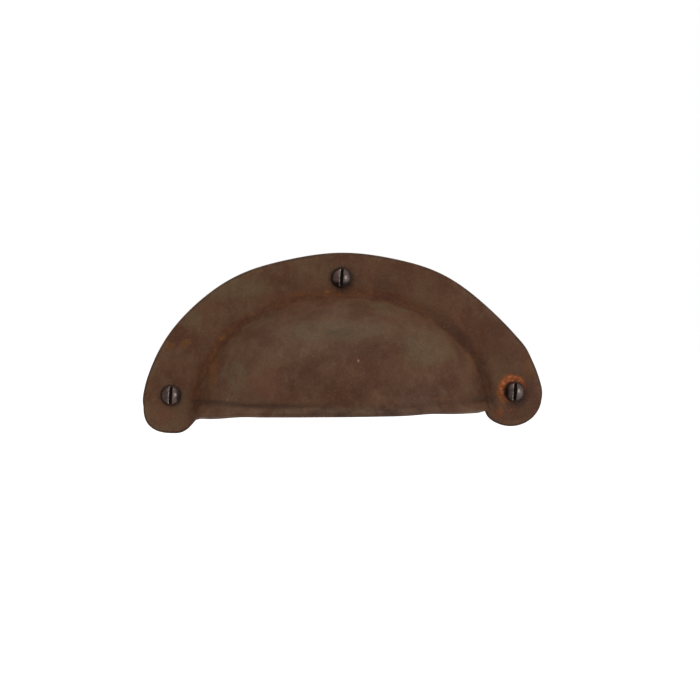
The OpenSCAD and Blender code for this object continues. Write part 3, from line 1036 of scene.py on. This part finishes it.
def screw_finish(weathering):
    """Blackened steel screws: dark and glossy on top, browner where rust has started, with painted
    shade left of the slot and a painted highlight right of it, black in the slot and duller down
    the thread."""
    material, f, shader = new_material("blackened_steel")
    finer = f.vector("MULTIPLY", f.place(), (1.8, 1.8, 1.8))
    worn = f.group(weathering, Place=finer, Seed=9.0)
    across = f.mark("across")
    colour = f.mix(f.ramp(worn["Mottle"], 0.38, 0.62), srgb(62, 48, 43), srgb(80, 65, 59))
    rows = (
        (f.ramp(worn["Blotch"], 0.52, 0.66, 0.0, 0.6), (76, 48, 34)),
        (f.times(worn["Pits"], 0.5), (40, 28, 24)),
        # painted shade on the left of each head
        (f.ramp(across, -0.45, -0.15, 0.4, 0.0), (36, 28, 28)),
        # painted highlight on the right of each head
        (f.ramp(across, 0.12, 0.35, 0.0, 0.28), (114, 103, 101)),
        (f.mark("slot"), (8, 6, 5)),
        (f.times(f.mark("worn"), f.ramp(worn["Grain"], 0.4, 0.56)), (190, 172, 160)),
        (f.ramp(f.mark("shaft"), 0.2, 0.9, 0.0, 0.6), (96, 72, 56)),
    )
    f.feed(shader["Base Color"], f.layers(colour, rows))
    shader["Metallic"].default_value = 0.8
    shader["Specular IOR Level"].default_value = 0.2
    f.feed(shader["Roughness"], f.ramp(worn["Mottle"], 0.35, 0.68, 0.27, 0.35))
    height = f.math("SUBTRACT", worn["Grain"], worn["Pits"])
    f.feed(shader["Normal"], f.relief(height, 0.00003, 0.3))
    return material


weathering = weathering_group()
pull.data.materials.clear()
pull.data.materials.append(sheet_finish(weathering, patch_group()))
screws.data.materials.append(screw_finish(weathering))

for piece, node, finish in ((pull, "cup_shell", "rusted_iron"), (screws, "screws", "screw_steel")):
    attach(piece, "root")
    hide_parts(node)


# floor in metres, and its glow, which grows with the distance from the pull in millimetres
FLOOR_Z = -0.055
FLOOR_FRONT = -0.3
FLOOR_FAR = 20.0
GLOW_AT = (100.0, 400.0)
GLOW = (0.3, 0.55)

# soft lamps in metres: name, place, width, height and power; they all aim at one point
LAMPS = (
    ("top_softbox", (-0.14, -0.4, 0.8), 0.9, 0.9, 4.2),
    ("left_softbox", (-0.6, -0.5, 0.1), 0.5, 0.6, 0.35),
    ("right_softbox", (0.56, -0.54, 0.04), 0.26, 0.5, 2.8),
)
LAMPS_AIM = Vector((0.0, 0.0, 0.012))

# camera: scale at the flange in pixels per millimetre, distance, roll, and where the origin lies in
# the square picture
PX_PER_MM = 3.906
CAMERA_OFF = 600.0
ROLL = math.radians(0.6)
PICTURE_PX = 700
ORIGIN_PX = (342.7, 393.5)
SENSOR_W = 36.0


def add_floor():
    """A wide pale floor below the pull that goes over to white all round it."""
    mesh = bpy.data.meshes.new("floor")
    low, high = (-FLOOR_FAR, FLOOR_FRONT), (FLOOR_FAR, FLOOR_FAR)
    corners = ((low[0], low[1]), (high[0], low[1]), (high[0], high[1]), (low[0], high[1]))
    mesh.from_pydata([(x, y, FLOOR_Z) for x, y in corners], [], [(0, 1, 2, 3)])
    floor = add_piece("floor", mesh)
    material, f, shader = new_material("pale_floor")
    place = f.place()
    grain = f.noise(place, 40.0, 4.0)
    f.feed(shader["Base Color"], f.mix(grain, (0.82, 0.82, 0.82, 1.0), (0.88, 0.88, 0.88, 1.0)))
    shader["Roughness"].default_value = 0.9
    shader["Specular IOR Level"].default_value = 0.1
    shader["Emission Color"].default_value = WHITE
    glow = f.ramp(f.length(place), *GLOW_AT, *GLOW)
    f.feed(shader["Emission Strength"], f.times(f.shown(), glow))
    mesh.materials.append(material)


def add_light():
    """A white surround that is dimmer on the camera's side, and the soft lamps."""
    world = bpy.data.worlds.new("white_tent")
    bpy.context.scene.world = world
    world.use_nodes = True
    f = Finish(world.node_tree)
    back = world.node_tree.nodes["Background"].inputs
    way = f.apart(f.add("ShaderNodeTexCoord").outputs["Generated"])
    level = f.ramp(way["Y"], -0.95, -0.15, 0.2, 0.8)
    back["Color"].default_value = WHITE
    f.feed(back["Strength"], f.math("MAXIMUM", level, f.shown()))

    for name, place, width, height, power in LAMPS:
        lamp = bpy.data.lights.new(name, "AREA")
        lamp.shape = "RECTANGLE"
        lamp.size = width
        lamp.size_y = height
        lamp.energy = power
        holder = add_piece(name, lamp)
        holder.location = place
        holder.rotation_mode = "QUATERNION"
        holder.rotation_quaternion = (LAMPS_AIM - Vector(place)).to_track_quat("-Z", "Y")


def add_camera():
    """A long lens straight in front: the scale at the flange sets the focal length, and a small
    roll gives the slight tilt of the pull in the frame."""
    lens = bpy.data.cameras.new("camera")
    lens.sensor_width = SENSOR_W
    lens.lens = PX_PER_MM * CAMERA_OFF * SENSOR_W / PICTURE_PX
    dx = (PICTURE_PX / 2 - ORIGIN_PX[0]) / PX_PER_MM
    dz = (ORIGIN_PX[1] - PICTURE_PX / 2) / PX_PER_MM
    x = dx * math.cos(ROLL) + dz * math.sin(ROLL)
    z = dz * math.cos(ROLL) - dx * math.sin(ROLL)
    turn = Matrix.Rotation(math.radians(90), 4, "X") @ Matrix.Rotation(-ROLL, 4, "Z")
    holder = add_piece("camera", lens)
    holder.matrix_world = Matrix.Translation(Vector((x, -CAMERA_OFF - SHEET_T, z)) * MM) @ turn
    bpy.context.scene.camera = holder


add_floor()
add_light()
add_camera()
bpy.context.scene.view_settings.view_transform = "Standard"
